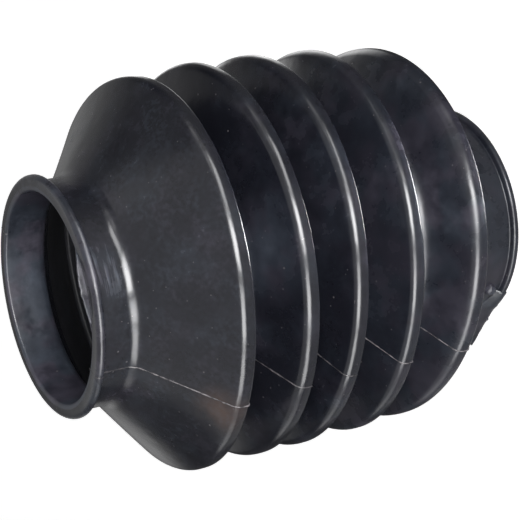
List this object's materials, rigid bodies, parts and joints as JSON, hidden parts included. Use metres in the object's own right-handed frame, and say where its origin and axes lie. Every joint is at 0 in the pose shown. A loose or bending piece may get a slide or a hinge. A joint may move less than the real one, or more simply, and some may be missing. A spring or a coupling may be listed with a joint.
{
  "type": "rubber bellows boot",
  "caption": "One-piece moulded rubber bellows boot: five deep folds that have taken a slight lean, with a lipped clamping cuff at each end, for sealing dust off a sliding rod or joint.",
  "frame": {"origin": "centre of the lower mouth, in the plane that the boot stands on", "axes": "+Z along the axis of both cuffs, from the lower mouth up to the upper mouth; the mould's parting line lies in the plane y = 0; the lowest folds rise most towards 115 to 150 degrees round from +X"},
  "size_m": [0.152, 0.152, 0.1859],
  "materials": {
    "rubber": "satin black moulded rubber"
  },
  "bodies": {
    "root": {"bellows_boot": "rubber"}
  },
  "joints": []
}
